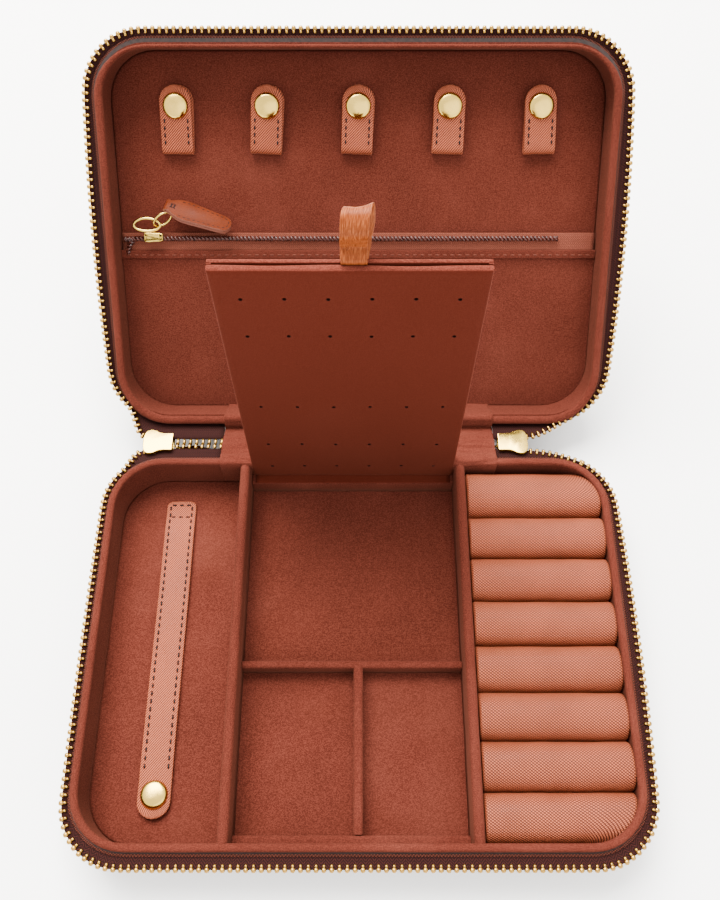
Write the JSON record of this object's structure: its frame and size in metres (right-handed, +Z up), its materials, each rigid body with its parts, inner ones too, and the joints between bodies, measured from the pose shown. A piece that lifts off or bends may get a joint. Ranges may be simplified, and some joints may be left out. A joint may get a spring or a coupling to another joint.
{
  "type": "leather jewellery case",
  "caption": "Zip-round leather jewellery case, open: suede tray with dividers, ring rolls and snap strap, upright earring panel, and a hinged lid with snap tabs and a zipped pocket.",
  "frame": {"origin": "middle of the tray's underside, on the table", "axes": "+X along the width to the right, +Y to the back where the lid is hinged, +Z up"},
  "size_m": [0.225, 0.3193, 0.1761],
  "materials": {
    "suede": "soft short-nap suede, rust brown",
    "saffiano": "crosshatched satin leather, brown",
    "cover_leather": "crosshatched satin leather, brown",
    "pull_leather": "smooth glossy leather, cognac",
    "board": "plain grey board",
    "foam": "soft open-cell foam",
    "zip_tape": "woven tape, near-black brown",
    "pocket_tape": "woven tape, light rust",
    "coil": "moulded nylon coil, dark burgundy",
    "satin": "glossy satin weave, orange brown",
    "brass": "polished, light gold"
  },
  "bodies": {
    "base": {"base_cover": "cover_leather", "base_board": "board", "base_lining": "suede", "base_rim": "suede", "base_zip_tape": "zip_tape", "base_zip_teeth": "brass", "divider_left": "suede", "divider_right": "suede", "low_divider": "suede", "ledges": "suede", "ring_roll_1": "saffiano", "ring_roll_2": "saffiano", "ring_roll_3": "saffiano", "ring_roll_4": "saffiano", "ring_roll_5": "saffiano", "ring_roll_6": "saffiano", "ring_roll_7": "saffiano", "ring_roll_8": "saffiano", "strap_end": "saffiano", "strap_stud": "brass"},
    "strap": {"strap": "saffiano", "strap_cap": "brass"},
    "panel": {"panel_front": "suede", "panel_back": "suede"},
    "ribbon": {"ribbon_loop": "satin"},
    "spine": {"spine_cover": "cover_leather", "spine_lining": "suede", "zip_chain_left": "brass", "zip_chain_right": "brass"},
    "slider_left": {"slider_left": "brass"},
    "slider_right": {"slider_right": "brass"},
    "puller_left": {"pull_link_left": "brass", "pull_tab_left": "pull_leather"},
    "puller_right": {"pull_link_right": "brass", "pull_tab_right": "pull_leather"},
    "lid": {"lid_cover": "cover_leather", "lid_foam": "foam", "lid_board": "board", "lid_lining": "suede", "lid_rim": "suede", "lid_zip_tape": "zip_tape", "lid_zip_teeth": "brass", "pocket_panel": "suede", "pocket_zip_tape": "pocket_tape", "pocket_zip_coil": "coil", "tab_backs": "saffiano", "tab_studs": "brass"},
    "pocket_slider": {"pocket_slider": "brass"},
    "pocket_pull": {"pocket_link": "brass", "pocket_pull": "pull_leather"},
    "tab_1": {"tab_1": "saffiano", "tab_cap_1": "brass"},
    "tab_2": {"tab_2": "saffiano", "tab_cap_2": "brass"},
    "tab_3": {"tab_3": "saffiano", "tab_cap_3": "brass"},
    "tab_4": {"tab_4": "saffiano", "tab_cap_4": "brass"},
    "tab_5": {"tab_5": "saffiano", "tab_cap_5": "brass"}
  },
  "joints": [
    {"name": "lid_hinge", "type": "hinge", "parent": "base", "child": "lid", "pos_m": [0, 0.088, 0.0192], "axis": [1, 0, 0], "range_deg": [0, 135.84]},
    {"name": "spine_turn", "type": "hinge", "parent": "base", "child": "spine", "pos_m": [0, 0.088, 0.0192], "axis": [1, 0, 0], "range_deg": [0, 67.92]},
    {"name": "panel_fold", "type": "hinge", "parent": "base", "child": "panel", "pos_m": [0, 0.0746, 0.0145], "axis": [1, 0, 0], "range_deg": [0, 91.6]},
    {"name": "ribbon_fold", "type": "hinge", "parent": "panel", "child": "ribbon", "pos_m": [-0.0015, 0.08177, 0.15665], "axis": [1, 0, 0], "range_deg": [-85, 0]},
    {"name": "strap_lift", "type": "hinge", "parent": "base", "child": "strap", "pos_m": [-0.079, 0.0575, 0.0067], "axis": [1, 0, 0], "range_deg": [-100, 0]},
    {"name": "tab_1_lift", "type": "hinge", "parent": "lid", "child": "tab_1", "pos_m": [-0.0768, 0.19198, 0.09083], "axis": [-1, 0, 0], "range_deg": [-100, 0]},
    {"name": "tab_2_lift", "type": "hinge", "parent": "lid", "child": "tab_2", "pos_m": [-0.0384, 0.19198, 0.09083], "axis": [-1, 0, 0], "range_deg": [-100, 0]},
    {"name": "tab_3_lift", "type": "hinge", "parent": "lid", "child": "tab_3", "pos_m": [0, 0.19198, 0.09083], "axis": [-1, 0, 0], "range_deg": [-100, 0]},
    {"name": "tab_4_lift", "type": "hinge", "parent": "lid", "child": "tab_4", "pos_m": [0.0384, 0.19198, 0.09083], "axis": [-1, 0, 0], "range_deg": [-100, 0]},
    {"name": "tab_5_lift", "type": "hinge", "parent": "lid", "child": "tab_5", "pos_m": [0.0768, 0.19198, 0.09083], "axis": [-1, 0, 0], "range_deg": [-100, 0]},
    {"name": "slider_left_slide", "type": "slide", "parent": "spine", "child": "slider_left", "axis": [1, 0, 0], "range_m": [0, 0.02]},
    {"name": "slider_right_slide", "type": "slide", "parent": "spine", "child": "slider_right", "axis": [1, 0, 0], "range_m": [0, 0.02]},
    {"name": "puller_left_swing", "type": "hinge", "parent": "slider_left", "child": "puller_left", "pos_m": [-0.0883, 0.08761, 0.01492], "axis": [0, 0.9958, -0.0918], "range_deg": [-20, 160]},
    {"name": "puller_right_swing", "type": "hinge", "parent": "slider_right", "child": "puller_right", "pos_m": [0.0678, 0.08761, 0.01492], "axis": [0, -0.9958, 0.0918], "range_deg": [-20, 160]},
    {"name": "pocket_slide", "type": "slide", "parent": "lid", "child": "pocket_slider", "axis": [1, 0, 0], "range_m": [0, 0.155]},
    {"name": "pocket_pull_swing", "type": "hinge", "parent": "pocket_slider", "child": "pocket_pull", "pos_m": [-0.0905, 0.16953, 0.07161], "axis": [0, 0.7174, 0.6967], "range_deg": [-100, 0]}
  ],
  "couplings": [
    {"joint": "spine_turn", "follows": "lid_hinge", "ratio": 0.5},
    {"joint": "panel_fold", "follows": "lid_hinge", "ratio": 0.67432},
    {"joint": "ribbon_fold", "follows": "lid_hinge", "ratio": -0.62573}
  ]
}
